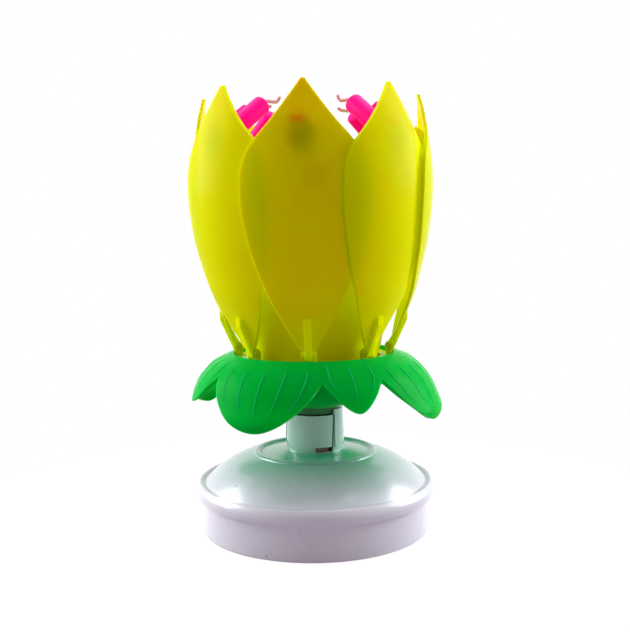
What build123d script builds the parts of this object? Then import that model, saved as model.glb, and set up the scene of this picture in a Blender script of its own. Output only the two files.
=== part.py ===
from build123d import *
from math import atan2, cos, degrees, pi, radians, sin
import os

os.makedirs("parts", exist_ok=True)

# Shared fits
overrun = 2.0
fit_gap = 0.2
running_gap = 0.05
seat_gap = 0.15

# Base casing
skirt_radius = 33.3
casing_wall = 1.6
casing_split_height = 10.3
foot_edge_radius = 0.6
bead_proud = 1.9
bead_overhang = 1.4
bead_height = 4.2
groove_inset = 0.8
groove_drop = 0.6
dome_height = 22.2
crown_rise = 1.0
crown_edge = 0.8
lip_radius = 17.1
lip_width = 2.2
lip_rise = 0.65
locating_lip_depth = 2.0
locating_lip_wall = 1.4
dome_mid_radius_share = 0.45
dome_mid_height_share = 0.627

# Neck
neck_foot_radius = 8.4
neck_top_radius = 8.0
neck_wall = 1.4
neck_length = 10.7
neck_floor = 1.9
neck_spigot_radius = 5.9
finger_angle = 63.0
finger_arc = 40.0
finger_rise = 1.5
finger_proud = 0.3
slit_width = 0.45
slit_lean = 6.0
neck_slot_arc = 36.0
neck_slot_height = 1.4
neck_slot_sill = 0.1

# Battery bay
cell_radius = 7.25
cell_length = 50.5
cell_nub_length = 1.2
cell_nub_radius = 2.75
cell_offset_y = 8.7
cell_shift_x = 0.85
hatch_thickness = 1.0
hatch_lip = 0.8
hatch_corner_radius = 3.0
saddle_width = 3.0
saddle_height = 2.6
contact_thickness = 0.35
contact_half_width = 2.9
spring_wire_radius = 0.3
spring_radius = 2.6
spring_length = 2.8
spring_turns = 3.0
bay_rib_thickness = 1.0
bay_rib_height = 7.4
hatch_screw_radius = 1.0
hatch_screw_head_radius = 1.9
hatch_lug_width = 6.0
hatch_lug_depth = 5.0

# Casing screws
screw_circle_radius = 24.5
screw_count = 3
screw_radius = 1.1
screw_length = 12.0
screw_head_radius = 2.3
screw_head_height = 1.3
boss_radius = 3.2
boss_split_height = 7.0
drive_slot_width = 0.6

# Gear train
gear_module = 0.5
output_teeth = 48
idler_pinion_teeth = 12
idler_teeth = 40
motor_pinion_teeth = 10
output_gear_width = 1.8
idler_gear_width = 1.5
gear_level_gap = 0.8
idler_angle = 246.4
motor_angle = -11.5
tooth_tip_share = 0.85
tooth_root_share = 1.3
tooth_foot_share = 0.5
tooth_crest_share = 0.24
gear_ceiling_gap = 1.0
gear_post_radius = 1.0
gear_post_boss_radius = 2.2
motor_radius = 10.0
motor_rim_height = 1.6
motor_shaft_radius = 0.8
motor_cap_height = 1.4

# Output shaft
shaft_radius = 2.5
shaft_bore_radius = 1.0
bush_height = 2.6
hub_radius = 7.4
hub_gap = 0.2
hub_height = 2.1

# Sound board
board_length = 12.0
board_width = 8.6
board_thickness = 1.2
board_x = -10.9
board_y = -20.9
board_height = 5.0
board_post_radius = 0.8
chip_radius = 2.6
chip_height = 1.1
sounder_radius = 6.0
sounder_thickness = 0.4
sounder_x = 11.5
sounder_y = 22.3
sounder_seat = 0.5

# Trigger switch
leaf_length = 13.6
leaf_width = 2.4
leaf_thickness = 0.3
leaf_center_y = -0.3
leaf_height = 13.0
leaf_drop = 1.35
leaf_overhang = 1.2
leaf_eye_radius = 0.9
leaf_pin_radius = 0.4
switch_ear_thickness = 0.7
switch_post_length = 3.0
thread_radius = 0.3

# Calyx
calyx_depth = 15.65
collar_crest_radius = 24.2
collar_wall = 0.8
calyx_wall = 1.1
calyx_foot_radius = 8.5
ring_ledge_depth = 2.6
ring_ledge_width = 1.6
leaf_reach = 37.5
leaf_count = 8
notch_drop = 4.25
big_leaf_drop = 13.0
small_leaf_drop = 8.0
big_leaf_half_width = 15.6
small_leaf_half_width = 9.0
skirt_shares = [(0.2, 0.07), (0.36, 0.147), (0.51, 0.26), (0.76, 0.53), (0.9, 0.79), (1.0, 1.0)]
skirt_drop = 15.2
big_leaf_shares = [(0.86, 0.4), (0.6, 0.72)]
small_leaf_shares = [(0.66, 0.45), (0.42, 0.74)]
skirt_slope_share = 0.866
skirt_tip_drop = 3.0
skirt_tip_inset = 0.8
socket_radius = 6.2
socket_depth = 9.0
calyx_floor = 1.3

# Petals
flower_turn = -3.5
petal_count = 8
flower_height = 125.0
petal_bulge_radius = 34.7
petal_half_width = 16.7
petal_foot_rise = 1.6
petal_foot_offset = 1.75
petal_wall = 0.9
petal_skew = 2.0
petal_profile_shares = [
    (0.0, 0.0), (0.106, 0.248), (0.2, 0.506), (0.3, 0.687), (0.4, 0.839),
    (0.52, 0.952), (0.64, 1.0), (0.78, 0.937), (0.9, 0.81), (1.0, 0.675),
]
petal_outline_shares = [
    (0.155, 0.487), (0.403, 0.88), (0.59, 1.0), (0.725, 0.91), (0.845, 0.52), (0.925, 0.255),
]
petal_foot_half_width = 1.9
petal_tip_half_width = 0.5
rib_width = 1.8
rib_rise = 8.9
rib_proud = 0.15
rib_depth = 1.6
rib_taper = 2.6
barrel_radius = 1.45
barrel_length = 2.6
hinge_inset = 1.2
hinge_rise = 3.95
hinge_pin_radius = 0.5
ear_thickness = 0.7
ear_radius = 1.0
ring_width = 3.8
ring_thickness = 1.5

# Candles on the petals
candle_lean = 37.0
candle_radius = 2.6
candle_length = 17.0
candle_edge_radius = 0.7
candle_seat_drop = 15.4
candle_socket_wall = 0.8
candle_socket_length = 6.4
candle_socket_floor = 3.0
wick_radius = 0.55
wick_rise = 1.4
wick_run = 4.2
wick_tip = 1.6
wick_bend_radius = 0.9

# Inner flower and sparkler
inner_cup_gap = 0.8
inner_cup_flare = 1.8
inner_cup_wall = 0.9
inner_cup_valley_rise = 16.6
inner_cup_lobe_rise = 16.0
inner_cup_lean = 1.8
sparkler_radius = 4.6
sparkler_length = 56.75
sparkler_wall = 0.8
sparkler_fill_drop = 1.5
fuse_radius = 0.7
fuse_rise = 7.0


def outward(azimuth):
    """Level direction away from the axis; zero azimuth is the front."""
    return Vector(sin(radians(azimuth)), -cos(radians(azimuth)), 0)


def sideways(azimuth):
    """Level direction across the one that points outward."""
    return Vector(cos(radians(azimuth)), sin(radians(azimuth)), 0)


def side_plane(azimuth, shift):
    """Upright plane with x outward and y up, moved sideways by shift."""
    return Plane(origin=sideways(azimuth) * shift, x_dir=outward(azimuth), z_dir=sideways(azimuth) * -1)


def face_plane(azimuth, distance):
    """Upright plane facing outward, with x sideways and y up."""
    return Plane(origin=outward(azimuth) * distance, x_dir=sideways(azimuth), z_dir=outward(azimuth))


def save(part, name):
    part.label = name
    export_step(part, "parts/" + name + ".step")


def tooth_points(teeth, index):
    """Corners of one gear tooth, from root to crest and back."""
    pitch_radius = gear_module * teeth / 2
    pitch = gear_module * pi
    root = pitch_radius - gear_module * tooth_root_share
    crest = pitch_radius + gear_module * tooth_tip_share
    middle = 360 / teeth * index
    foot_turn = degrees(pitch * tooth_foot_share / 2 / root)
    crest_turn = degrees(pitch * tooth_crest_share / 2 / crest)
    corners = [(root, -foot_turn), (crest, -crest_turn), (crest, crest_turn), (root, foot_turn)]
    return [(r * cos(radians(middle + a)), r * sin(radians(middle + a))) for r, a in corners]


def toothed_wheel(center, z, teeth, width, phase):
    """A spur gear with straight-sided teeth, drawn on a plane at height z."""
    plane = Plane(origin=(center[0], center[1], z), x_dir=(cos(radians(phase)), sin(radians(phase)), 0))
    with BuildPart() as wheel:
        with BuildSketch(plane):
            outline = []
            for index in range(teeth):
                outline += tooth_points(teeth, index)
            with BuildLine():
                Polyline(*outline, close=True)
            make_face()
        extrude(amount=width)
    return wheel.part


# Levels and places worked out from the sizes above
tray_floor = casing_wall
cell_height = hatch_thickness + seat_gap + cell_radius + casing_wall / 4
tray_inner_radius = skirt_radius - casing_wall
locating_radius = tray_inner_radius - fit_gap / 2
cover_ceiling = dome_height - casing_wall
output_gear_height = cover_ceiling - gear_ceiling_gap - output_gear_width
idler_gear_height = output_gear_height - gear_level_gap - idler_gear_width
idler_distance = gear_module * (output_teeth + idler_pinion_teeth) / 2
motor_distance = gear_module * (idler_teeth + motor_pinion_teeth) / 2
idler_x = idler_distance * cos(radians(idler_angle))
idler_y = idler_distance * sin(radians(idler_angle))
motor_x = idler_x + motor_distance * cos(radians(motor_angle))
motor_y = idler_y + motor_distance * sin(radians(motor_angle))
neck_foot = dome_height + crown_rise
neck_top = neck_foot + neck_length
neck_bore_radius = neck_top_radius - neck_wall
hub_bottom = neck_top + hub_gap
calyx_bottom = hub_bottom + hub_height
shaft_bottom = output_gear_height - gear_level_gap / 2
shaft_top = calyx_bottom + calyx_floor / 2
collar_height = calyx_bottom + calyx_depth
collar_bore_radius = collar_crest_radius - collar_wall
ring_bottom = collar_height - ring_ledge_depth
ring_inner_radius = collar_bore_radius - fit_gap - ring_width
hinge_radius = collar_bore_radius - hinge_inset
hinge_height = ring_bottom + hinge_rise
inner_cup_base_radius = ring_inner_radius - inner_cup_gap
inner_cup_radius = inner_cup_base_radius + inner_cup_flare
inner_cup_floor_height = ring_bottom + seat_gap
inner_cup_valley_height = inner_cup_floor_height + inner_cup_valley_rise
inner_cup_tip_height = inner_cup_valley_height + inner_cup_lobe_rise
sparkler_seat = ring_bottom - socket_depth
sparkler_top = sparkler_seat + sparkler_length

# Base tray: floor, skirt, screw bosses, battery bay and posts
screw_places = [
    (screw_circle_radius * cos(radians(90 + 360 / screw_count * i)),
     screw_circle_radius * sin(radians(90 + 360 / screw_count * i)))
    for i in range(screw_count)
]
bay_length = cell_length + 2 * fit_gap
bay_width = 2 * cell_radius + 2 * fit_gap
hatch_length = bay_length + 2 * hatch_lip
hatch_width = bay_width + 2 * hatch_lip
plus_end = cell_shift_x + cell_length / 2
minus_end = cell_shift_x - cell_length / 2
plus_contact_x = plus_end + seat_gap / 2
minus_contact_x = minus_end - spring_length - contact_thickness
leaf_pin_x = leaf_overhang - leaf_length
fixed_contact_height = leaf_height - leaf_drop - leaf_thickness
switch_fork_height = leaf_height + leaf_thickness / 2 - leaf_eye_radius - fit_gap
hatch_screw_x = cell_shift_x
hatch_screw_y = cell_offset_y + (hatch_width + hatch_lug_depth) / 2 - hatch_lip

with BuildPart() as base_tray:
    with BuildSketch(side_plane(0, 0)):
        with BuildLine():
            Polyline(
                (0, 0), (skirt_radius, 0), (skirt_radius, casing_split_height),
                (tray_inner_radius, casing_split_height), (tray_inner_radius, tray_floor), (0, tray_floor),
                close=True,
            )
        make_face()
    revolve(axis=Axis.Z)
    rim = base_tray.edges().filter_by(GeomType.CIRCLE).group_by(Axis.Z)[0].sort_by(SortBy.RADIUS)[-1]
    fillet(rim, radius=foot_edge_radius)
    with BuildSketch(Plane.XY.offset(tray_floor)):
        with Locations(*screw_places):
            Circle(boss_radius)
    extrude(amount=boss_split_height - tray_floor)
    with BuildSketch(Plane.XY.offset(tray_floor)):
        with Locations((idler_x, idler_y)):
            Circle(gear_post_boss_radius)
    extrude(amount=idler_gear_height - seat_gap - tray_floor)
    with BuildSketch(Plane.XY.offset(tray_floor)):
        with Locations((board_x, board_y)):
            post_inset = 3 * board_post_radius
            with GridLocations(board_length - post_inset, board_width - post_inset, 2, 2):
                Circle(board_post_radius)
    extrude(amount=board_height - tray_floor)
    with BuildSketch(Plane.XY.offset(tray_floor)):
        with Locations((sounder_x, sounder_y)):
            Circle(sounder_radius)
            Circle(sounder_radius - casing_wall, mode=Mode.SUBTRACT)
    extrude(amount=sounder_seat)
    with BuildSketch(Plane.XY.offset(tray_floor)):
        rib_x = plus_contact_x + contact_thickness + bay_rib_thickness / 2
        far_rib_x = minus_contact_x - bay_rib_thickness / 2
        with Locations((rib_x, cell_offset_y), (far_rib_x, cell_offset_y)):
            Rectangle(bay_rib_thickness, 2 * contact_half_width)
    extrude(amount=bay_rib_height - tray_floor)
    with BuildSketch(Plane.XY.offset(tray_floor)):
        with Locations((leaf_pin_x, leaf_center_y)):
            Rectangle(switch_post_length, leaf_width)
    extrude(amount=switch_fork_height - tray_floor)
    with BuildSketch(Plane.XY.offset(switch_fork_height - switch_ear_thickness)):
        with Locations((leaf_pin_x, leaf_center_y)):
            Rectangle(switch_post_length, leaf_width + 2 * switch_ear_thickness + fit_gap)
    extrude(amount=switch_ear_thickness + 2 * leaf_eye_radius)
    with BuildSketch(Plane.XY.offset(switch_fork_height)):
        with Locations((leaf_pin_x, leaf_center_y)):
            Rectangle(switch_post_length + overrun, leaf_width + fit_gap)
    extrude(amount=2 * leaf_eye_radius + overrun, mode=Mode.SUBTRACT)
    with BuildSketch(Plane.XY.offset(tray_floor)):
        with Locations((leaf_overhang + switch_post_length / 2, leaf_center_y)):
            Rectangle(switch_post_length, leaf_width)
    extrude(amount=fixed_contact_height - leaf_thickness - tray_floor)
    pin_plane = Plane(
        origin=(leaf_pin_x, leaf_center_y, leaf_height + leaf_thickness / 2), x_dir=(1, 0, 0), z_dir=(0, 1, 0)
    )
    with BuildSketch(pin_plane):
        Circle(leaf_pin_radius)
    extrude(amount=leaf_width, both=True, mode=Mode.SUBTRACT)
    with BuildSketch(Plane.XY):
        with Locations((cell_shift_x, cell_offset_y)):
            RectangleRounded(hatch_length + 2 * fit_gap, hatch_width + 2 * fit_gap, hatch_corner_radius)
        with Locations((hatch_screw_x, hatch_screw_y)):
            Rectangle(hatch_lug_width + 2 * fit_gap, hatch_lug_depth)
    extrude(amount=hatch_thickness + fit_gap, mode=Mode.SUBTRACT)
    with BuildSketch(Plane.XY):
        with Locations((cell_shift_x, cell_offset_y)):
            Rectangle(bay_length, bay_width)
    extrude(amount=tray_floor + running_gap, mode=Mode.SUBTRACT)
    with BuildSketch(Plane.XY):
        with Locations((hatch_screw_x, hatch_screw_y)):
            Circle(hatch_screw_radius)
        with Locations(*screw_places):
            Circle(screw_radius + fit_gap)
    extrude(amount=cover_ceiling, mode=Mode.SUBTRACT)
    with BuildSketch(Plane.XY.offset(tray_floor)):
        with Locations((idler_x, idler_y)):
            Circle(gear_post_radius)
    extrude(amount=cover_ceiling, mode=Mode.SUBTRACT)
    with BuildSketch(Plane.XY):
        with Locations(*screw_places):
            Circle(screw_head_radius + fit_gap)
    extrude(amount=screw_head_height + fit_gap, mode=Mode.SUBTRACT)
save(base_tray.part, "base_tray")

# Base cover: dome, bead rim, groove, raised ring and screw bosses
bead_radius = skirt_radius + bead_proud
groove_radius = skirt_radius - groove_inset
bead_top = casing_split_height + bead_height
groove_height = bead_top - groove_drop
lip_outer = lip_radius + lip_width / 2
lip_inner = lip_radius - lip_width / 2
dome_mid_r = lip_outer + (groove_radius - lip_outer) * (1 - dome_mid_radius_share)
dome_mid_z = groove_height + (dome_height - groove_height) * dome_mid_height_share
cover_hole_radius = neck_spigot_radius

with BuildPart() as base_cover:
    with BuildSketch(side_plane(0, 0)):
        with BuildLine():
            lip_bottom = casing_split_height - locating_lip_depth
            lip_back = locating_radius - locating_lip_wall
            Polyline(
                (lip_back, lip_bottom), (locating_radius, lip_bottom), (locating_radius, casing_split_height),
                (skirt_radius + bead_overhang, casing_split_height),
            )
            ThreePointArc(
                (skirt_radius + bead_overhang, casing_split_height),
                (bead_radius, casing_split_height + bead_height / 2),
                (groove_radius + bead_overhang, bead_top),
            )
            Line((groove_radius + bead_overhang, bead_top), (groove_radius, groove_height))
            ThreePointArc((groove_radius, groove_height), (dome_mid_r, dome_mid_z), (lip_outer, dome_height))
            ThreePointArc((lip_outer, dome_height), (lip_radius, dome_height + lip_rise), (lip_inner, dome_height))
            Polyline(
                (lip_inner, dome_height), (neck_foot_radius + crown_edge, neck_foot), (cover_hole_radius, neck_foot),
                (cover_hole_radius, cover_ceiling), (lip_outer, cover_ceiling),
            )
            ThreePointArc(
                (lip_outer, cover_ceiling), (dome_mid_r - casing_wall / 2, dome_mid_z - casing_wall),
                (lip_back, groove_height - casing_wall),
            )
            Line((lip_back, groove_height - casing_wall), (lip_back, lip_bottom))
        make_face()
    revolve(axis=Axis.Z)
    with BuildSketch(Plane.XY.offset(boss_split_height)):
        with Locations(*screw_places):
            Circle(boss_radius)
    extrude(amount=dome_mid_z - casing_wall - boss_split_height)
    with BuildSketch(Plane.XY.offset(boss_split_height)):
        with Locations(*screw_places):
            Circle(screw_radius)
    extrude(amount=screw_length + screw_head_height - boss_split_height + 2 * fit_gap, mode=Mode.SUBTRACT)
save(base_cover.part, "base_cover")

# Neck sleeve with its snap fingers, slanted slits and foot slots
finger_start = finger_angle - finger_arc / 2
with BuildPart() as neck_sleeve:
    with BuildSketch(side_plane(0, 0)):
        with BuildLine():
            Polyline(
                (shaft_radius + running_gap, cover_ceiling), (neck_spigot_radius, cover_ceiling),
                (neck_spigot_radius, neck_foot), (neck_foot_radius, neck_foot), (neck_top_radius, neck_top),
                (neck_bore_radius, neck_top), (neck_bore_radius, neck_foot + neck_floor),
                (shaft_radius + running_gap, neck_foot + neck_floor),
                close=True,
            )
        make_face()
    revolve(axis=Axis.Z)
    for turn in (0, 180):
        start = finger_start + turn
        with BuildSketch(side_plane(start, 0)):
            with BuildLine():
                finger_sill = neck_foot + neck_slot_sill + neck_slot_height
                finger_back = hub_radius + finger_proud
                Polyline(
                    (finger_back, finger_sill),
                    (neck_foot_radius + finger_proud, finger_sill),
                    (neck_top_radius + finger_proud, neck_top + finger_rise),
                    (finger_back, neck_top + finger_rise),
                    close=True,
                )
            make_face()
        revolve(axis=Axis.Z, revolution_arc=finger_arc)
        slit_middle = neck_foot + neck_slot_sill + neck_length / 2
        slit_plane = face_plane(start - slit_lean / 2, 0)
        with BuildSketch(slit_plane):
            with Locations((0, slit_middle)):
                Rectangle(slit_width, neck_length, rotation=-slit_lean)
        extrude(amount=neck_foot_radius + overrun, mode=Mode.SUBTRACT)
        with BuildSketch(side_plane(start - slit_lean - neck_slot_arc, 0)):
            with Locations((neck_foot_radius, neck_foot + neck_slot_sill + neck_slot_height / 2)):
                Rectangle(2 * neck_wall, neck_slot_height)
        revolve(axis=Axis.Z, revolution_arc=neck_slot_arc, mode=Mode.SUBTRACT)
save(neck_sleeve.part, "neck_sleeve")

# Neck bush that steadies the shaft near the top of the neck
with BuildPart() as neck_bush:
    with BuildSketch(Plane.XY.offset(neck_top - bush_height - hub_gap)):
        Circle(neck_bore_radius)
        Circle(shaft_radius + running_gap, mode=Mode.SUBTRACT)
    extrude(amount=bush_height)
    chamfer(neck_bush.edges().filter_by(GeomType.CIRCLE).group_by(Axis.Z)[-1], length=fit_gap)
save(neck_bush.part, "neck_bush")

# Battery cell lying across the base
with BuildPart() as battery_cell:
    with BuildSketch(Plane(origin=(minus_end, cell_offset_y, cell_height), z_dir=(1, 0, 0))):
        Circle(cell_radius)
    extrude(amount=cell_length - cell_nub_length)
    chamfer(battery_cell.edges().filter_by(GeomType.CIRCLE), length=fit_gap)
    with BuildSketch(Plane(origin=(plus_end - cell_nub_length, cell_offset_y, cell_height), z_dir=(1, 0, 0))):
        Circle(cell_nub_radius)
    extrude(amount=cell_nub_length)
save(battery_cell.part, "battery_cell")

# Contacts: a plate at the nub end, a coil spring on a plate at the other
contact_bottom = tray_floor + seat_gap
contact_top = cell_height + spring_radius + spring_wire_radius
with BuildPart() as contact_plate:
    with BuildSketch(Plane(origin=(plus_contact_x, cell_offset_y, 0), x_dir=(0, 1, 0), z_dir=(1, 0, 0))):
        with Locations((0, (contact_bottom + contact_top) / 2)):
            Rectangle(2 * contact_half_width, contact_top - contact_bottom)
    extrude(amount=contact_thickness)
    chamfer(contact_plate.edges().filter_by(Axis.X), length=fit_gap)
save(contact_plate.part, "contact_plate")

spring_pitch = (spring_length - 2 * spring_wire_radius) / spring_turns
spring_start = minus_contact_x + contact_thickness + spring_wire_radius
with BuildPart() as contact_spring:
    with BuildLine():
        coil = Helix(
            pitch=spring_pitch, height=spring_pitch * spring_turns, radius=spring_radius,
            center=(spring_start, cell_offset_y, cell_height), direction=(1, 0, 0),
        )
    with BuildSketch(Plane(origin=coil @ 0, z_dir=coil % 0)):
        Circle(spring_wire_radius)
    sweep()
save(contact_spring.part, "contact_spring")

with BuildPart() as spring_plate:
    with BuildSketch(Plane(origin=(minus_contact_x, cell_offset_y, 0), x_dir=(0, 1, 0), z_dir=(1, 0, 0))):
        with Locations((0, (contact_bottom + contact_top) / 2)):
            Rectangle(2 * contact_half_width, contact_top - contact_bottom)
    extrude(amount=contact_thickness)
    chamfer(spring_plate.edges().filter_by(Axis.X), length=fit_gap)
save(spring_plate.part, "spring_plate")

# Battery hatch with two saddles for the cell and a lug for its screw
with BuildPart() as battery_hatch:
    with BuildSketch(Plane.XY):
        with Locations((cell_shift_x, cell_offset_y)):
            RectangleRounded(hatch_length, hatch_width, hatch_corner_radius)
        with Locations((hatch_screw_x, hatch_screw_y)):
            Rectangle(hatch_lug_width, hatch_lug_depth - fit_gap)
    extrude(amount=hatch_thickness)
    with BuildSketch(Plane.XY.offset(hatch_thickness)):
        with Locations((cell_shift_x, cell_offset_y)):
            with GridLocations(cell_length / 2, 0, 2, 1):
                Rectangle(saddle_width, cell_radius * 2 - 2 * casing_wall)
    extrude(amount=saddle_height)
    with BuildSketch(Plane(origin=(minus_end, cell_offset_y, cell_height), z_dir=(1, 0, 0))):
        Circle(cell_radius + running_gap)
    extrude(amount=cell_length, mode=Mode.SUBTRACT)
    with BuildSketch(Plane.XY):
        with Locations((hatch_screw_x, hatch_screw_y)):
            Circle(hatch_screw_radius + running_gap)
    extrude(amount=hatch_thickness, mode=Mode.SUBTRACT)
    with BuildSketch(Plane.XY):
        with Locations((hatch_screw_x, hatch_screw_y)):
            Circle(hatch_screw_head_radius + running_gap)
    extrude(amount=hatch_thickness / 2, mode=Mode.SUBTRACT)
save(battery_hatch.part, "battery_hatch")


def screw(x, y, bottom, head_radius, head_height, shank_radius, length):
    """A pan screw pointing up, with a cross slot in its head."""
    with BuildPart() as one:
        with BuildSketch(Plane.XY.offset(bottom)):
            with Locations((x, y)):
                Circle(head_radius)
        extrude(amount=head_height)
        with BuildSketch(Plane.XY.offset(bottom + head_height)):
            with Locations((x, y)):
                Circle(shank_radius)
        extrude(amount=length)
        with BuildSketch(Plane.XY.offset(bottom)):
            with Locations((x, y)):
                Rectangle(drive_slot_width, head_radius)
                Rectangle(head_radius, drive_slot_width)
        extrude(amount=head_height / 2, mode=Mode.SUBTRACT)
    return one.part


save(
    screw(
        hatch_screw_x, hatch_screw_y, foot_edge_radius / 4, hatch_screw_head_radius,
        hatch_thickness / 2 - foot_edge_radius / 4, hatch_screw_radius, tray_floor - hatch_thickness / 2,
    ),
    "hatch_screw",
)
screws = [
    screw(x, y, fit_gap, screw_head_radius, screw_head_height, screw_radius, screw_length)
    for x, y in screw_places
]
save(Compound(children=screws), "casing_screws")

# Motor: can, end cap, shaft and pinion
motor_plane = Plane.XY.offset(tray_floor)
with BuildPart() as motor_cap:
    with BuildSketch(motor_plane):
        with Locations((motor_x, motor_y)):
            Circle(motor_radius - motor_rim_height / 2)
    extrude(amount=motor_cap_height)
    with BuildSketch(motor_plane):
        with Locations((motor_x, motor_y)):
            Circle(motor_shaft_radius + running_gap)
    extrude(amount=motor_cap_height, mode=Mode.SUBTRACT)
save(motor_cap.part, "motor_cap")

motor_can_bottom = tray_floor + motor_cap_height
motor_top = idler_gear_height - gear_level_gap
with BuildPart() as motor_can:
    with BuildSketch(Plane.XY.offset(motor_can_bottom)):
        with Locations((motor_x, motor_y)):
            Circle(motor_radius)
    extrude(amount=motor_top - motor_rim_height / 2 - motor_can_bottom)
    fillet(motor_can.edges().filter_by(GeomType.CIRCLE).group_by(Axis.Z)[-1], radius=motor_rim_height / 2)
    with BuildSketch(Plane.XY.offset(motor_top - motor_rim_height / 2)):
        with Locations((motor_x, motor_y)):
            Circle(motor_shaft_radius + motor_rim_height)
    extrude(amount=motor_rim_height / 2)
    with BuildSketch(motor_plane):
        with Locations((motor_x, motor_y)):
            Circle(motor_shaft_radius + running_gap)
    extrude(amount=motor_top, mode=Mode.SUBTRACT)
save(motor_can.part, "motor_can")

with BuildPart() as motor_shaft:
    with BuildSketch(motor_plane):
        with Locations((motor_x, motor_y)):
            Circle(motor_shaft_radius)
    extrude(amount=idler_gear_height + idler_gear_width + gear_level_gap / 2 - tray_floor)
save(motor_shaft.part, "motor_shaft")

# Gears in mesh: phases set so that a tooth of one meets a gap of the next
idler_phase = idler_angle + 180
output_phase = idler_angle + 180 / output_teeth
motor_phase = motor_angle + 180 + 180 / motor_pinion_teeth
idler_big_phase = motor_angle
with BuildPart() as motor_pinion:
    add(toothed_wheel((motor_x, motor_y), idler_gear_height, motor_pinion_teeth, idler_gear_width, motor_phase))
    with BuildSketch(Plane.XY.offset(idler_gear_height)):
        with Locations((motor_x, motor_y)):
            Circle(motor_shaft_radius)
    extrude(amount=idler_gear_width, mode=Mode.SUBTRACT)
save(motor_pinion.part, "motor_pinion")

idler_top = output_gear_height + output_gear_width
with BuildPart() as idler_gear:
    add(toothed_wheel((idler_x, idler_y), idler_gear_height, idler_teeth, idler_gear_width, idler_big_phase))
    add(
        toothed_wheel(
            (idler_x, idler_y), idler_gear_height + idler_gear_width, idler_pinion_teeth,
            idler_top - idler_gear_height - idler_gear_width, idler_phase,
        )
    )
    with BuildSketch(Plane.XY.offset(idler_gear_height)):
        with Locations((idler_x, idler_y)):
            Circle(gear_post_radius + running_gap)
    extrude(amount=idler_top, mode=Mode.SUBTRACT)
save(idler_gear.part, "idler_gear")

with BuildPart() as idler_post:
    with BuildSketch(Plane.XY.offset(tray_floor)):
        with Locations((idler_x, idler_y)):
            Circle(gear_post_radius)
    extrude(amount=idler_top + gear_ceiling_gap / 2 - tray_floor)
save(idler_post.part, "idler_post")

gear_hub_height = gear_ceiling_gap - hub_gap
with BuildPart() as output_gear:
    add(toothed_wheel((0, 0), output_gear_height, output_teeth, output_gear_width, output_phase))
    with BuildSketch(Plane.XY.offset(output_gear_height + output_gear_width)):
        Circle(neck_spigot_radius - casing_wall / 2)
    extrude(amount=gear_hub_height)
    with BuildSketch(Plane.XY.offset(output_gear_height)):
        Circle(shaft_radius)
    extrude(amount=output_gear_width + gear_hub_height, mode=Mode.SUBTRACT)
save(output_gear.part, "output_gear")

with BuildPart() as output_shaft:
    with BuildSketch(Plane.XY.offset(shaft_bottom)):
        Circle(shaft_radius)
        Circle(shaft_bore_radius, mode=Mode.SUBTRACT)
    extrude(amount=shaft_top - shaft_bottom)
save(output_shaft.part, "output_shaft")

with BuildPart() as hub:
    with BuildSketch(Plane.XY.offset(hub_bottom)):
        Circle(hub_radius)
        Circle(shaft_radius, mode=Mode.SUBTRACT)
    extrude(amount=hub_height)
    hub_rims = hub.edges().filter_by(GeomType.CIRCLE).group_by(SortBy.RADIUS)[-1]
    chamfer(hub_rims, length=fit_gap)
save(hub.part, "hub")

# Sound: circuit board, chip and sounder disc
with BuildPart() as circuit_board:
    with BuildSketch(Plane.XY.offset(board_height)):
        with Locations((board_x, board_y)):
            Rectangle(board_length, board_width)
    extrude(amount=board_thickness)
    chamfer(circuit_board.edges().filter_by(Axis.Z), length=board_post_radius)
save(circuit_board.part, "circuit_board")

with BuildPart() as music_chip:
    with BuildSketch(Plane.XY.offset(board_height + board_thickness)):
        with Locations((board_x, board_y)):
            Circle(chip_radius)
    extrude(amount=chip_height)
    fillet(music_chip.edges().filter_by(GeomType.CIRCLE).group_by(Axis.Z)[-1], radius=chip_height * 2 / 3)
save(music_chip.part, "music_chip")

with BuildPart() as sounder_disc:
    with BuildSketch(Plane.XY.offset(tray_floor + sounder_seat)):
        with Locations((sounder_x, sounder_y)):
            Circle(sounder_radius)
    extrude(amount=sounder_thickness)
    with BuildSketch(Plane.XY.offset(tray_floor + sounder_seat + sounder_thickness)):
        with Locations((sounder_x, sounder_y)):
            Circle(sounder_radius * 2 / 3)
    extrude(amount=sounder_thickness / 2)
save(sounder_disc.part, "sounder_disc")

# Trigger switch: leaf on its pin, fixed contact below, thread above
with BuildPart() as switch_leaf:
    with BuildSketch(pin_plane):
        Circle(leaf_eye_radius)
    extrude(amount=leaf_width / 2, both=True)
    with BuildSketch(Plane.XY.offset(leaf_height)):
        with Locations((leaf_pin_x + leaf_length / 2, leaf_center_y)):
            Rectangle(leaf_length, leaf_width)
    extrude(amount=leaf_thickness)
    with BuildSketch(pin_plane):
        Circle(leaf_pin_radius + running_gap)
    extrude(amount=leaf_width, both=True, mode=Mode.SUBTRACT)
save(switch_leaf.part, "switch_leaf")

with BuildPart() as switch_pin:
    with BuildSketch(pin_plane):
        Circle(leaf_pin_radius)
    extrude(amount=leaf_width / 2 + switch_ear_thickness + fit_gap / 2, both=True)
save(switch_pin.part, "switch_pin")

with BuildPart() as switch_contact:
    with BuildSketch(Plane.XY.offset(fixed_contact_height - leaf_thickness)):
        with Locations((leaf_overhang / 2 + switch_post_length / 2, leaf_center_y)):
            Rectangle(switch_post_length + leaf_overhang, leaf_width)
    extrude(amount=leaf_thickness)
save(switch_contact.part, "switch_contact")

with BuildPart() as trigger_thread:
    with BuildSketch(Plane.XY.offset(leaf_height + leaf_thickness)):
        Circle(thread_radius)
    extrude(amount=sparkler_seat - leaf_height - leaf_thickness - running_gap)
save(trigger_thread.part, "trigger_thread")


# Calyx: bowl, collar and eight leaves
def leaf_outline(half_width, leaf_drop, shares):
    """Half outline of a leaf from its root down to its tip, mirrored by the caller."""
    return [(half_width * w, notch_height - leaf_drop * d) for w, d in shares]


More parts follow.
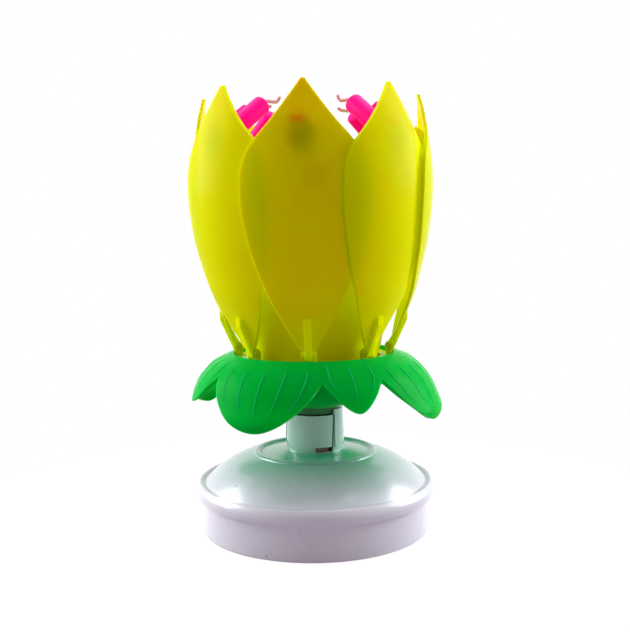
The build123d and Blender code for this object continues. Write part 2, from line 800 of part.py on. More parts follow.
skirt_outer = [
    (collar_crest_radius + (leaf_reach - collar_crest_radius) * r, collar_height - skirt_drop * d)
    for r, d in skirt_shares
]
skirt_end = (leaf_reach - skirt_tip_inset, skirt_outer[-1][1] - skirt_tip_drop)
skirt_outer_path = [(collar_crest_radius, collar_height)] + skirt_outer + [skirt_end]
leaf_middle = flower_turn + 180 / leaf_count
notch_height = collar_height - notch_drop

with BuildPart() as leaf_shape:
    with BuildSketch(Plane.XY.offset(notch_height)):
        Circle(leaf_reach + overrun)
    extrude(amount=collar_height - notch_height + overrun)
    for index in range(leaf_count):
        azimuth = leaf_middle + 360 / leaf_count * index
        big = index % 2 == 1
        half_width = big_leaf_half_width if big else small_leaf_half_width
        drop = big_leaf_drop if big else small_leaf_drop
        side = leaf_outline(half_width, drop, big_leaf_shares if big else small_leaf_shares)
        right = [(half_width, notch_height)] + side + [(0, notch_height - drop)]
        left = [(-x, z) for x, z in reversed(right[:-1])]
        with BuildSketch(face_plane(azimuth, collar_crest_radius)):
            with BuildLine():
                Spline(*(right + left))
                root = notch_height + overrun
                Polyline(left[-1], (-half_width, root), (half_width, root), right[0])
            make_face()
        extrude(amount=leaf_reach - collar_crest_radius + overrun)

with BuildPart() as calyx:
    with BuildSketch(side_plane(0, 0)):
        with BuildLine():
            inner_path = [
                (skirt_end[0] - calyx_wall, skirt_end[1]),
                (skirt_outer[-1][0] - calyx_wall, skirt_outer[-1][1]),
                (skirt_outer[3][0] - calyx_wall * skirt_slope_share, skirt_outer[3][1] - calyx_wall / 2),
                (skirt_outer[1][0] - calyx_wall / 2, skirt_outer[1][1] - calyx_wall),
                (collar_bore_radius, collar_height - ring_ledge_depth),
            ]
            Spline(*skirt_outer_path)
            Line(skirt_end, inner_path[0])
            Spline(*inner_path)
            Polyline(inner_path[-1], (collar_bore_radius, collar_height), (collar_crest_radius, collar_height))
        make_face()
    revolve(axis=Axis.Z)
    add(leaf_shape.part, mode=Mode.INTERSECT)
    with BuildSketch(side_plane(0, 0)):
        with BuildLine():
            bowl_mid_radius = (calyx_foot_radius + collar_crest_radius) / 2 + calyx_wall
            bowl_outer_mid = (bowl_mid_radius, calyx_bottom + calyx_floor * 3)
            ledge_radius = collar_bore_radius - ring_ledge_width
            ThreePointArc((calyx_foot_radius, calyx_bottom), bowl_outer_mid, (collar_crest_radius, ring_bottom))
            Polyline(
                (collar_crest_radius, ring_bottom), (collar_crest_radius, collar_height),
                (collar_bore_radius, collar_height), (collar_bore_radius, ring_bottom),
                (ledge_radius, ring_bottom), (ledge_radius, ring_bottom - calyx_floor),
            )
            ThreePointArc(
                (ledge_radius, ring_bottom - calyx_floor),
                (bowl_outer_mid[0] - calyx_floor, bowl_outer_mid[1] + calyx_floor),
                (calyx_foot_radius, calyx_bottom + calyx_floor),
            )
            Line((calyx_foot_radius, calyx_bottom + calyx_floor), (calyx_foot_radius, calyx_bottom))
        make_face()
    revolve(axis=Axis.Z)
    with BuildSketch(Plane.XY.offset(calyx_bottom)):
        Circle(calyx_foot_radius)
    extrude(amount=calyx_floor)
    with BuildSketch(Plane.XY.offset(calyx_bottom)):
        Circle(socket_radius)
    extrude(amount=inner_cup_floor_height - calyx_bottom)
    with BuildSketch(Plane.XY.offset(sparkler_seat)):
        Circle(sparkler_radius + running_gap)
    extrude(amount=inner_cup_floor_height, mode=Mode.SUBTRACT)
    with BuildSketch(Plane.XY.offset(calyx_bottom)):
        Circle(shaft_bore_radius)
    extrude(amount=sparkler_seat, mode=Mode.SUBTRACT)
    with BuildSketch(Plane.XY.offset(calyx_bottom)):
        Circle(shaft_radius)
    extrude(amount=shaft_top - calyx_bottom, mode=Mode.SUBTRACT)
save(calyx.part, "calyx")

# Petal ring with a pair of ears for each petal, and the hinge pins
ear_middle = barrel_length / 2 + running_gap + ear_thickness / 2
with BuildPart() as petal_ring:
    with BuildSketch(Plane.XY.offset(ring_bottom)):
        Circle(collar_bore_radius - fit_gap)
        Circle(ring_inner_radius, mode=Mode.SUBTRACT)
    extrude(amount=ring_thickness)
    for index in range(petal_count):
        azimuth = flower_turn + 360 / petal_count * index
        for side in (-1, 1):
            with BuildSketch(side_plane(azimuth, side * ear_middle)):
                with Locations((hinge_radius, hinge_height)):
                    Circle(ear_radius)
                with Locations((hinge_radius - fit_gap, (hinge_height + ring_bottom + ring_thickness / 2) / 2)):
                    Rectangle(2 * ear_radius - 2 * fit_gap, hinge_height - ring_bottom - ring_thickness / 2)
            extrude(amount=ear_thickness / 2, both=True)
        with BuildSketch(side_plane(azimuth, 0)):
            with Locations((hinge_radius, hinge_height)):
                Circle(hinge_pin_radius)
        extrude(amount=ear_middle + ear_thickness, both=True, mode=Mode.SUBTRACT)
save(petal_ring.part, "petal_ring")

pins = []
for index in range(petal_count):
    azimuth = flower_turn + 360 / petal_count * index
    with BuildPart() as pin:
        with BuildSketch(side_plane(azimuth, 0)):
            with Locations((hinge_radius, hinge_height)):
                Circle(hinge_pin_radius)
        extrude(amount=ear_middle + ear_thickness / 2, both=True)
    pins.append(pin.part)
save(Compound(children=pins), "hinge_pins")

# One petal at the front: skewed blade, rib, hinge barrel and candle socket
petal_foot_height = hinge_height + petal_foot_rise
petal_foot_radius = hinge_radius + petal_foot_offset
petal_length = flower_height - petal_foot_height
petal_bulge = petal_bulge_radius - petal_foot_radius


def petal_points(inset):
    """Blade profile from foot to tip, moved inward by inset."""
    return [
        (petal_foot_radius + petal_bulge * r - inset, petal_foot_height + petal_length * z)
        for z, r in petal_profile_shares
    ]


def blade_radius(height):
    """Outer radius of the blade at a height, straight between its profile's points."""
    above = [pair for pair in zip(petal_points(0), petal_points(0)[1:]) if pair[0][1] <= height]
    (lower_radius, lower), (upper_radius, upper) = above[-1]
    return lower_radius + (upper_radius - lower_radius) * (height - lower) / (upper - lower)


candle_seat_height = flower_height - candle_seat_drop
candle_seat_radius = blade_radius(candle_seat_height) - petal_wall


def candle_plane(azimuth, distance):
    """Plane across the candle's axis, a distance from its seat."""
    lean = radians(candle_lean)
    seat = outward(azimuth) * candle_seat_radius + Vector(0, 0, candle_seat_height)
    along = outward(azimuth) * -cos(lean) + Vector(0, 0, sin(lean))
    return Plane(origin=seat + along * distance, x_dir=sideways(azimuth), z_dir=along)


with BuildPart() as blade:
    with BuildSketch(side_plane(flower_turn, -petal_skew)):
        with BuildLine():
            outer = petal_points(0)
            inner = petal_points(petal_wall)
            Spline(*outer)
            Line(outer[-1], inner[-1])
            Spline(*reversed(inner))
            Line(inner[0], outer[0])
        make_face()
    revolve(axis=Axis(sideways(flower_turn) * -petal_skew, (0, 0, 1)))
    with BuildSketch(face_plane(flower_turn, 0)):
        with BuildLine():
            half = [(petal_half_width * w, petal_foot_height + petal_length * z) for z, w in petal_outline_shares]
            right = [(petal_foot_half_width, petal_foot_height)] + half + [(petal_tip_half_width, flower_height)]
            left = [(-x, z) for x, z in reversed(right)]
            Spline(*right)
            Line(right[-1], left[0])
            Spline(*left)
            Line(left[-1], right[0])
        make_face()
    extrude(amount=petal_bulge_radius + overrun, mode=Mode.INTERSECT)

with BuildPart() as petal_core:
    with BuildSketch(side_plane(flower_turn, -petal_skew)):
        with BuildLine():
            middle = petal_points(petal_wall / 2)
            Spline(*middle)
            Polyline(middle[-1], (0, flower_height), (0, petal_foot_height), middle[0])
        make_face()
    revolve(axis=Axis(sideways(flower_turn) * -petal_skew, (0, 0, 1)))

rib_top_height = petal_foot_height + rib_rise
rib_top_radius = blade_radius(rib_top_height) + rib_proud
rib_lean = atan2(rib_top_radius - hinge_radius, rib_top_height - hinge_height)
rib_foot = (hinge_radius + barrel_radius * cos(rib_lean), hinge_height - barrel_radius * sin(rib_lean))
with BuildPart() as petal:
    with BuildSketch(candle_plane(flower_turn, candle_socket_length)):
        Circle(candle_radius + candle_socket_wall)
    extrude(amount=-2 * candle_socket_length)
    add(petal_core.part, mode=Mode.INTERSECT)
    add(blade.part)
    with BuildSketch(candle_plane(flower_turn, candle_socket_floor)):
        Circle(candle_radius)
    extrude(amount=candle_socket_length + overrun, mode=Mode.SUBTRACT)
    with BuildSketch(side_plane(flower_turn, 0)):
        with BuildLine():
            Polyline(
                rib_foot, (rib_top_radius, rib_top_height - rib_taper),
                (rib_top_radius + petal_wall / 4 - rib_proud, rib_top_height),
                (rib_top_radius - rib_depth, rib_top_height - rib_taper),
                (hinge_radius - barrel_radius / 2, hinge_height + barrel_radius / 2), (hinge_radius, hinge_height),
                close=True,
            )
        make_face()
    extrude(amount=rib_width / 2, both=True)
    with BuildSketch(side_plane(flower_turn, 0)):
        with Locations((hinge_radius, hinge_height)):
            Circle(barrel_radius)
    extrude(amount=barrel_length / 2, both=True)
    with BuildSketch(side_plane(flower_turn, 0)):
        with Locations((hinge_radius, hinge_height)):
            Circle(hinge_pin_radius + running_gap)
    extrude(amount=barrel_length, both=True, mode=Mode.SUBTRACT)

# Candle in its socket, and the wick that bends in towards the middle
with BuildPart() as candle:
    with BuildSketch(candle_plane(flower_turn, candle_socket_floor)):
        Circle(candle_radius)
    extrude(amount=candle_length)
    top_rim = candle.edges().filter_by(GeomType.CIRCLE).sort_by(Axis.Z)[-1]
    fillet(top_rim, radius=candle_edge_radius)

candle_end = candle_plane(flower_turn, candle_socket_floor + candle_length)
with BuildPart() as wick:
    with BuildLine():
        start = candle_end.origin
        bend = start + candle_end.z_dir * wick_rise
        level_end = bend - outward(flower_turn) * wick_run
        tip = level_end + Vector(0, 0, wick_tip) - outward(flower_turn) * wick_tip / 2
        FilletPolyline(start, bend, level_end, tip, radius=wick_bend_radius)
    with BuildSketch(candle_end):
        Circle(wick_radius)
    sweep()

for index in range(petal_count):
    turn = 360 / petal_count * index
    number = str(index + 1)
    save(petal.part.rotate(Axis.Z, turn), "petal_" + number)
    save(candle.part.rotate(Axis.Z, turn), "candle_" + number)
    save(wick.part.rotate(Axis.Z, turn), "wick_" + number)

# Inner flower: a cup whose rim rises in eight points between the petals
with BuildPart() as lobes:
    with BuildSketch(Plane.XY.offset(inner_cup_floor_height)):
        Circle(inner_cup_radius + inner_cup_lean + overrun)
    extrude(amount=inner_cup_valley_height - inner_cup_floor_height)
    lobe_half = inner_cup_radius * sin(radians(180 / petal_count))
    for index in range(petal_count):
        azimuth = flower_turn + 360 / petal_count * (index + 1 / 2)
        with BuildSketch(face_plane(azimuth, 0)):
            with BuildLine():
                shoulder = (lobe_half * 3 / 4, inner_cup_valley_height + inner_cup_lobe_rise / 2)
                Spline((lobe_half, inner_cup_valley_height), shoulder, (0, inner_cup_tip_height))
                far_shoulder = (-shoulder[0], shoulder[1])
                Spline((0, inner_cup_tip_height), far_shoulder, (-lobe_half, inner_cup_valley_height))
                Polyline(
                    (-lobe_half, inner_cup_valley_height), (-lobe_half, inner_cup_valley_height - overrun),
                    (lobe_half, inner_cup_valley_height - overrun), (lobe_half, inner_cup_valley_height),
                )
            make_face()
        extrude(amount=inner_cup_radius + inner_cup_lean + overrun)

with BuildPart() as inner_cup:
    with BuildSketch(side_plane(0, 0)):
        with BuildLine():
            base_edge = (inner_cup_base_radius, inner_cup_floor_height)
            waist = (inner_cup_radius, (inner_cup_floor_height + inner_cup_valley_height) / 2)
            top = (inner_cup_radius + inner_cup_lean, inner_cup_tip_height)
            floor_edge = (inner_cup_base_radius - inner_cup_wall, inner_cup_floor_height + inner_cup_wall)
            Spline(base_edge, waist, top)
            Line(top, (top[0] - inner_cup_wall, top[1]))
            Spline((top[0] - inner_cup_wall, top[1]), (waist[0] - inner_cup_wall, waist[1]), floor_edge)
            Polyline(
                floor_edge, (sparkler_radius + running_gap, floor_edge[1]),
                (sparkler_radius + running_gap, inner_cup_floor_height), base_edge,
            )
        make_face()
    revolve(axis=Axis.Z)
    add(lobes.part, mode=Mode.INTERSECT)
save(inner_cup.part, "inner_cup")

# Sparkler in the middle: paper tube, pressed filling and fuse
with BuildPart() as sparkler_tube:
    with BuildSketch(Plane.XY.offset(sparkler_seat)):
        Circle(sparkler_radius)
    extrude(amount=sparkler_top - sparkler_seat)
    with BuildSketch(Plane.XY.offset(sparkler_seat + sparkler_wall)):
        Circle(sparkler_radius - sparkler_wall)
    extrude(amount=sparkler_top, mode=Mode.SUBTRACT)
save(sparkler_tube.part, "sparkler_tube")

fill_top = sparkler_top - sparkler_fill_drop
with BuildPart() as sparkler_filling:
    with BuildSketch(Plane.XY.offset(sparkler_seat + sparkler_wall)):
        Circle(sparkler_radius - sparkler_wall)
    extrude(amount=fill_top - sparkler_seat - sparkler_wall)
save(sparkler_filling.part, "sparkler_filling")

with BuildPart() as sparkler_fuse:
    with BuildLine():
        fuse_base = Vector(0, 0, fill_top)
        fuse_knee = fuse_base + Vector(0, 0, fuse_rise)
        fuse_end = fuse_knee + Vector(fuse_rise / 3, 0, fuse_rise / 3)
        FilletPolyline(fuse_base, fuse_knee, fuse_end, radius=fuse_rise / 4)
    with BuildSketch(Plane.XY.offset(fill_top)):
        Circle(fuse_radius)
    sweep()
save(sparkler_fuse.part, "sparkler_fuse")
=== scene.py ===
from math import cos, pi, radians, sin

import bpy
from mathutils import Matrix, Vector


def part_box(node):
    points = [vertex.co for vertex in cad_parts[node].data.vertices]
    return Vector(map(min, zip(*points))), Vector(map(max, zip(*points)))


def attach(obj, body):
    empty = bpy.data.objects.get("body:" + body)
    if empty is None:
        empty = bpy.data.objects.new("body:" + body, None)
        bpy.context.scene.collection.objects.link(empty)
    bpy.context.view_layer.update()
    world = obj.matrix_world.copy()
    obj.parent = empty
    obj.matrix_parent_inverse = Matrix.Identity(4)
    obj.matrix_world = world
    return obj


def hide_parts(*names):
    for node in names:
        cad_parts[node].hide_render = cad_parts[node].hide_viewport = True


bl_info = {
    "name": "Lotus birthday candle",
    "version": (1, 0, 0),
    "blender": (4, 5, 0),
    "location": "3D View > Sidebar > Lotus Candle",
    "description": "Finishes, leaf veins, candles, wicks and a studio for the lotus birthday candle",
    "category": "Object",
}

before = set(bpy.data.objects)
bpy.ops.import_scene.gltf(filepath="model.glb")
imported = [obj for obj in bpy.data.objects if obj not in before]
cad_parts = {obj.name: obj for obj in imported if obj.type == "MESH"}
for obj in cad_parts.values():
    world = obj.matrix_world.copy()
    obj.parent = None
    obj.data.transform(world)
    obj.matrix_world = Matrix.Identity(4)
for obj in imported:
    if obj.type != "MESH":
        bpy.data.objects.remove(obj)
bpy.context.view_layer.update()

MM = 0.001
FLOWER_TURN = -3.5
PETALS = 8
PETAL_TURN = 360 / PETALS

# Places of marks in the finishes, painted light and shade among them, in millimetres: reach is from the
# turning axis, level over the floor
PAINTED_GREEN_START, PAINTED_GREEN_FULL, PAINTED_GREEN_LEVEL = 34.0, 12.0, 14.5
GROOVE_REACH, GROOVE_LEVEL = 32.9, 14.1
SLOT_REACH, SLOT_FOOT, SLOT_TOP = 8.12, 23.22, 24.75
SLIT_REACH = 7.85
SOCKET_MARK_LEVEL, CANDLE_GLOW_LEVEL = 111.6, 114.6
LOWER_MARK_SIDE, LOWER_MARK_LEVEL = 3.4, 100.6
RIB_HALF_WIDTH, RIB_TOP = 1.02, 63.6
COVERED_START, COVERED_FULL = 8.0, 11.0
JACKET_BAND = (8.0, 8.2)
CELL_FAR_END, CELL_NEAR_END = 25.1, -24.2


def flat_color(red, green, blue):
    """Linear colour from values of 0 to 255 as a picture shows them."""
    def linear(value):
        share = value / 255
        return share / 12.92 if share <= 0.04045 else ((share + 0.055) / 1.055) ** 2.4
    return (linear(red), linear(green), linear(blue))


# Sizes and colours


class CandleColors(bpy.types.PropertyGroup):
    petal: bpy.props.FloatVectorProperty(
        name="Petal", description="Lime-yellow of the petals", size=3, subtype="COLOR", min=0, max=1,
        default=flat_color(226, 244, 0))
    petal_deep: bpy.props.FloatVectorProperty(
        name="Deep petal", description="Deeper tone of a petal's cloudy parts", size=3, subtype="COLOR",
        min=0, max=1, default=flat_color(228, 234, 0))
    leaf: bpy.props.FloatVectorProperty(
        name="Leaf", description="Green of the calyx", size=3, subtype="COLOR", min=0, max=1,
        default=flat_color(0, 182, 40))
    # On the veins this lighter green is a painted highlight; on the cloudy parts it is a random tone.
    leaf_light: bpy.props.FloatVectorProperty(
        name="Light leaf", description="Lighter green of veins and cloudy parts", size=3, subtype="COLOR",
        min=0, max=1, default=flat_color(0, 200, 96))
    casing: bpy.props.FloatVectorProperty(
        name="Casing", description="Cool white of the base and neck", size=3, subtype="COLOR", min=0, max=1,
        default=flat_color(232, 234, 242))
    candle: bpy.props.FloatVectorProperty(
        name="Candle", description="Hot pink of the small candles", size=3, subtype="COLOR", min=0, max=1,
        default=flat_color(255, 0, 142))
    wick: bpy.props.FloatVectorProperty(
        name="Wick", description="Pale pink of the wicks", size=3, subtype="COLOR", min=0, max=1,
        default=flat_color(240, 172, 182))


class CandleSizes(bpy.types.PropertyGroup):
    vein_width: bpy.props.FloatProperty(
        name="Vein width", description="Width of a raised vein at the collar", default=0.8 * MM,
        min=0.1 * MM, max=2 * MM, unit="LENGTH", precision=5)
    vein_rise: bpy.props.FloatProperty(
        name="Vein rise", description="How far a vein stands out of its leaf", default=0.22 * MM,
        min=0, max=1 * MM, unit="LENGTH", precision=5)
    strand_radius: bpy.props.FloatProperty(
        name="Strand radius", description="Radius of one strand of a twisted wick", default=0.27 * MM,
        min=0.05 * MM, max=1 * MM, unit="LENGTH", precision=5)
    camera_distance: bpy.props.FloatProperty(
        name="Camera distance", description="From the turning axis to the camera", default=0.2567,
        min=0.1, max=2, unit="LENGTH")
    camera_height: bpy.props.FloatProperty(
        name="Camera height", description="Height of the camera over the floor", default=0.0842,
        min=0, max=1, unit="LENGTH")


# Shader sums


class Value:
    """A socket that works in ordinary sums; each sum adds its Math node."""

    def __init__(self, finish, socket):
        self.finish, self.socket = finish, socket

    def math(self, operation, *others):
        inputs = {0: self}
        inputs.update({i + 1: other for i, other in enumerate(others)})
        return self.finish.node("ShaderNodeMath", {"operation": operation}, inputs)

    def __add__(self, other):
        return self.math("ADD", other)

    __radd__ = __add__

    def __sub__(self, other):
        return self.math("SUBTRACT", other)

    def __rsub__(self, other):
        return self.finish.node("ShaderNodeMath", {"operation": "SUBTRACT"}, {0: other, 1: self})

    def __mul__(self, other):
        return self.math("MULTIPLY", other)

    __rmul__ = __mul__

    def __truediv__(self, other):
        return self.math("DIVIDE", other)

    def __gt__(self, other):
        return self.math("GREATER_THAN", other)

    def __lt__(self, other):
        return self.math("LESS_THAN", other)

    def size(self):
        return self.math("ABSOLUTE")


class Finish:
    """One procedural material, or the room around the scene, and the nodes that make it."""

    def __init__(self, name, room=False):
        self.material = bpy.data.worlds.new(name) if room else bpy.data.materials.new(name)
        self.material.use_nodes = True
        self.tree = self.material.node_tree
        self.tree.nodes.clear()
        self.output = self.tree.nodes.new("ShaderNodeOutputWorld" if room else "ShaderNodeOutputMaterial")

    def feed(self, socket, value):
        """Link a Value to a socket, or set the socket's own number or colour."""
        if isinstance(value, Value):
            self.tree.links.new(value.socket, socket)
        elif socket.type == "RGBA" and len(value) == 3:
            socket.default_value = (*value, 1)
        else:
            socket.default_value = value

    def node(self, kind, settings=None, inputs=None, out=0):
        """A node of any kind with its settings and inputs; gives the output that out names."""
        made = self.tree.nodes.new(kind)
        for name, value in (settings or {}).items():
            setattr(made, name, value)
        for key, value in (inputs or {}).items():
            self.feed(made.inputs[key], value)
        return Value(self, made.outputs[out])

    def place(self, turn=0.0):
        """Object coordinates in millimetres, turned about the upright axis."""
        raw = self.node("ShaderNodeTexCoord", out=3)
        scale = (1 / MM,) * 3
        return self.node("ShaderNodeMapping", {}, {"Vector": raw, "Rotation": (0, 0, turn), "Scale": scale})

    def parts(self, vector):
        """The three measures of a vector."""
        split = self.node("ShaderNodeSeparateXYZ", {}, {0: vector}).socket.node
        return [Value(self, socket) for socket in split.outputs]

    def noise(self, vector, scale, detail=2.0, roughness=0.5):
        inputs = {"Vector": vector, "Scale": scale, "Detail": detail, "Roughness": roughness}
        return self.node("ShaderNodeTexNoise", {}, inputs)

    def stretched(self, vector, scale):
        return self.node("ShaderNodeVectorMath", {"operation": "MULTIPLY"}, {0: vector, 1: scale})

    def step(self, value, low, high):
        """Smooth 0 to 1 as value goes from low to high."""
        inputs = {0: value, 1: low, 2: high, 3: 0.0, 4: 1.0}
        return self.node("ShaderNodeMapRange", {"interpolation_type": "SMOOTHSTEP"}, inputs)

    def ramp(self, value, start, end, low=0.0, high=1.0):
        """Straight run from low to high as value goes from start to end."""
        return self.node("ShaderNodeMapRange", {}, {0: value, 1: start, 2: end, 3: low, 4: high})

    def between(self, value, low, high):
        """Straight run from low to high as value goes from 0 to 1."""
        return self.ramp(value, 0.0, 1.0, low, high)

    def blend(self, share, first, second):
        """Colour that goes from first to second as share goes from 0 to 1."""
        return self.node("ShaderNodeMix", {"data_type": "RGBA"}, {0: share, 6: first, 7: second}, out=2)

    def distance(self, x, y):
        """How far a point is from the origin of two measures."""
        return (x * x + y * y).math("SQRT")

    def bump(self, height, strength, distance):
        return self.node("ShaderNodeBump", {}, {"Height": height, "Strength": strength, "Distance": distance})

    def surface(self, **sockets):
        """The shader itself; its name in words gives each socket."""
        shader = self.node("ShaderNodeBsdfPrincipled")
        for words, value in sockets.items():
            self.feed(shader.socket.node.inputs[words.replace("_", " ").title().replace("Ior", "IOR")], value)
        return self.finished(shader)

    def finished(self, shader):
        """The material or room, with its last shader put on."""
        self.feed(self.output.inputs["Surface"], shader)
        return self.material

    def seen(self):
        """1 for rays that show a surface, straight or by gloss or glass, and 0 for rays that light others."""
        paths = self.node("ShaderNodeLightPath").socket.node.outputs
        rays = [Value(self, paths["Is %s Ray" % kind]) for kind in ("Camera", "Glossy", "Transmission")]
        return (rays[0] + rays[1] + rays[2]).math("MINIMUM", 1.0)


def wear_dress(node, material):
    """Give a CAD node its finish; the node itself stays as it is."""
    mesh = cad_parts[node].data
    mesh.materials.clear()
    mesh.materials.append(material)


def dark_specks(finish, place, spacing, chance, size):
    """Mask of rare specks of dirt: one cell in some holds a speck, the rest none."""
    cells = {"Vector": place, "Scale": 1 / spacing, "Randomness": 1.0}
    distance = finish.node("ShaderNodeTexVoronoi", {}, cells, out=0)
    tone = finish.node("ShaderNodeTexVoronoi", {}, cells, out=1)
    drawn = finish.parts(tone)[0] < chance
    return drawn * (distance < size / spacing)


# Finishes


def casing_finish(name, color, painted_green):
    """Glossy moulding with painted green light from the leaves towards the neck, painted shade in its groove
    and on the faces of its slot and slit, and a few dark specks of dirt.
    """
    finish = Finish(name)
    place = finish.place()
    x, y, z = finish.parts(place)
    reach = finish.distance(x, y)
    cloud = finish.noise(place, 0.045, 3.0)
    tone = finish.blend(cloud, color, tuple(c * 0.93 for c in color))
    # Painted green light: the top of the base under the leaves and the neck are tinted green as if lit
    # through the leaves.
    near = finish.ramp(reach, PAINTED_GREEN_START, PAINTED_GREEN_FULL) * (z > PAINTED_GREEN_LEVEL)
    tone = finish.blend(near, tone, tuple(c * t for c, t in zip(color, painted_green)))
    # Painted shade: a grey-green line darkens the groove round the top of the base.
    groove_shade = finish.step((reach - GROOVE_REACH).size(), 0.9, 0.2)
    groove_shade = groove_shade * finish.step((z - GROOVE_LEVEL).size(), 0.7, 0.3)
    tone = finish.blend(groove_shade * 0.6, tone, flat_color(120, 138, 130))
    # Painted shade: the faces of the neck's slot and slit are darkened brown.
    slot = (reach < SLOT_REACH) * (z < SLOT_TOP) * (z > SLOT_FOOT)
    slit = (reach < SLIT_REACH) * (z > SLOT_TOP)
    tone = finish.blend(slot + slit * 0.5, tone, flat_color(104, 78, 60))
    specks = dark_specks(finish, place, 2.2, 0.045, 0.24)
    tone = finish.blend(specks, tone, flat_color(62, 58, 56))
    waves = finish.noise(place, 0.5, 1.0)
    return finish.surface(
        base_color=tone, roughness=finish.between(cloud, 0.24, 0.32), specular_ior_level=0.5,
        coat_weight=0.9, coat_roughness=0.2, normal=finish.bump(waves, 0.12, 0.05 * MM))


def petal_finish(name, colors, turn, shade, painted_socket_weight=0.03, covered_glow_weight=0.0):
    """Thin translucent moulding with painted light and shade: the ribs take a pale painted tone, the cut
    edges a greener one, and a painted shadow of the candle's socket and a painted red-pink glow of the candle
    lie on it.

    The ribs, the inner face and, by its covered-strip weight, the strip under the next petal glow a little as
    painted light; the shade factor darkens every tone as painted shade.
    """
    finish = Finish(name)
    place = finish.place(turn)
    x, _, z = finish.parts(place)
    cloud = finish.noise(place, 0.05, 2.0)
    deep = tuple(c * shade for c in colors.petal_deep)
    light = tuple(c * shade for c in colors.petal)
    tone = finish.blend(cloud * 0.8, deep, light)
    # Painted shadow of the candle's socket, with a fainter second one under it, as if seen through the petal.
    blur = finish.noise(place, 0.4, 2.0) * 2.4
    shadow = finish.step(finish.distance(x + blur, (z - SOCKET_MARK_LEVEL) * 0.75), 5.4, 1.2)
    lower_shadow = finish.distance(x - LOWER_MARK_SIDE, (z - LOWER_MARK_LEVEL) * 0.9)
    lower_shadow = finish.step(lower_shadow, 4.6, 0.6)
    tone = finish.blend((shadow + lower_shadow * 0.4) * painted_socket_weight, tone, flat_color(120, 60, 20))
    # Painted light: a red-pink glow of the candle, as if seen through the petal, above the socket's painted
    # shadow.
    candle_glow = finish.step(finish.distance((x + blur) * 0.7, (z - CANDLE_GLOW_LEVEL) * 1.7), 2.8, 0.2)
    tone = finish.blend(candle_glow * painted_socket_weight * 1.3, tone, flat_color(228, 40, 20))
    # Painted light: the ribs take the pale tone everywhere and glow a little.
    rib_light = (x.size() < RIB_HALF_WIDTH) * (z < RIB_TOP)
    tone = finish.blend(rib_light, tone, light)
    # Painted light: the cut edges take a greener tone in place of the light along them.
    normal = finish.node("ShaderNodeTexCoord", out=1)
    inputs = {"Vector": normal, "Angle": turn}
    inward = finish.parts(finish.node("ShaderNodeVectorRotate", {"rotation_type": "Z_AXIS"}, inputs))[1]
    edge_light = finish.step(inward.size(), 0.25, 0.12)
    tone = finish.blend(edge_light * 0.8, tone, (light[0] * 0.8, light[1] * 0.92, 0.0))
    # Painted light: the inner face, the ribs and the strip under the next petal glow, though no lamp is
    # there.
    inside = finish.step(inward, 0.05, 0.4)
    covered = finish.step(x, COVERED_START, COVERED_FULL) * covered_glow_weight
    glow = finish.blend(rib_light + inside + covered, (0, 0, 0), tuple(c * 0.1 for c in light))
    grain = finish.noise(place, 3.0, 2.0)
    return finish.surface(
        base_color=tone, roughness=finish.between(cloud, 0.16, 0.22), specular_ior_level=0.01,
        subsurface_weight=0.85, subsurface_radius=(1.0, 0.36, 0.01), subsurface_scale=2.5 * MM,
        emission_color=glow, emission_strength=1.0, normal=finish.bump(grain, 0.05, 0.03 * MM))


def leaf_finish(name, colors, light=False):
    """Green moulding that lets light through; the light one, for its raised veins, is paler as a painted
    highlight along them.
    """
    finish = Finish(name)
    place = finish.place()
    cloud = finish.noise(place, 0.07, 2.0)
    # For the veins both tones are paler: a painted highlight.
    deep = colors.leaf_light if light else colors.leaf
    pale = flat_color(34, 206, 84) if light else colors.leaf_light
    tone = finish.blend(cloud * 0.5, deep, pale)
    grain = finish.noise(place, 3.0, 2.0)
    return finish.surface(
        base_color=tone, roughness=finish.between(cloud, 0.14, 0.2), specular_ior_level=0.01,
        subsurface_weight=0.1 if light else 0.9, subsurface_radius=(0.02, 1.0, 0.3),
        subsurface_scale=3.0 * MM, normal=finish.bump(grain, 0.06, 0.03 * MM))


def wax_finish(colors):
    """Bright wax with a faint bloom; its colour is also emitted as a painted glow, so it stays bright in
    shade.
    """
    finish = Finish("pink_wax")
    place = finish.place()
    cloud = finish.noise(place, 0.35, 3.0)
    tone = finish.blend(cloud * 0.45, colors.candle, tuple(c * 0.86 for c in colors.candle))
    bloom = finish.noise(place, 2.2, 3.0, 0.65)
    return finish.surface(
        base_color=tone, roughness=finish.between(bloom, 0.3, 0.52), specular_ior_level=0.05,
        subsurface_weight=0.4, subsurface_radius=(1.0, 0.1, 0.35), subsurface_scale=1.4 * MM,
        emission_color=tone, emission_strength=0.32,
        normal=finish.bump(bloom, 0.12, 0.06 * MM))


def yarn_finish(name, color, scale=6.0, rough=0.85):
    """Spun fibres with a soft sheen."""
    finish = Finish(name)
    place = finish.place()
    fibres = finish.noise(finish.stretched(place, (scale, scale, scale * 0.5)), 1.0, 3.0, 0.7)
    tone = finish.blend(fibres, tuple(c * 0.8 for c in color), color)
    return finish.surface(
        base_color=tone, roughness=rough, sheen_weight=0.3, sheen_roughness=0.5,
        normal=finish.bump(fibres, 0.5, 0.06 * MM))


def metal_finish(name, color, roughness, stretch=(1, 1, 12)):
    """Bare metal with fine brush marks, long where stretch is small."""
    finish = Finish(name)
    place = finish.place()
    brushed = finish.noise(finish.stretched(place, stretch), 1.6, 3.0, 0.6)
    tone = finish.blend(brushed, tuple(c * 0.82 for c in color), color)
    return finish.surface(
        base_color=tone, metallic=1.0, roughness=finish.between(brushed, roughness, roughness + 0.16),
        normal=finish.bump(brushed, 0.12, 0.03 * MM))


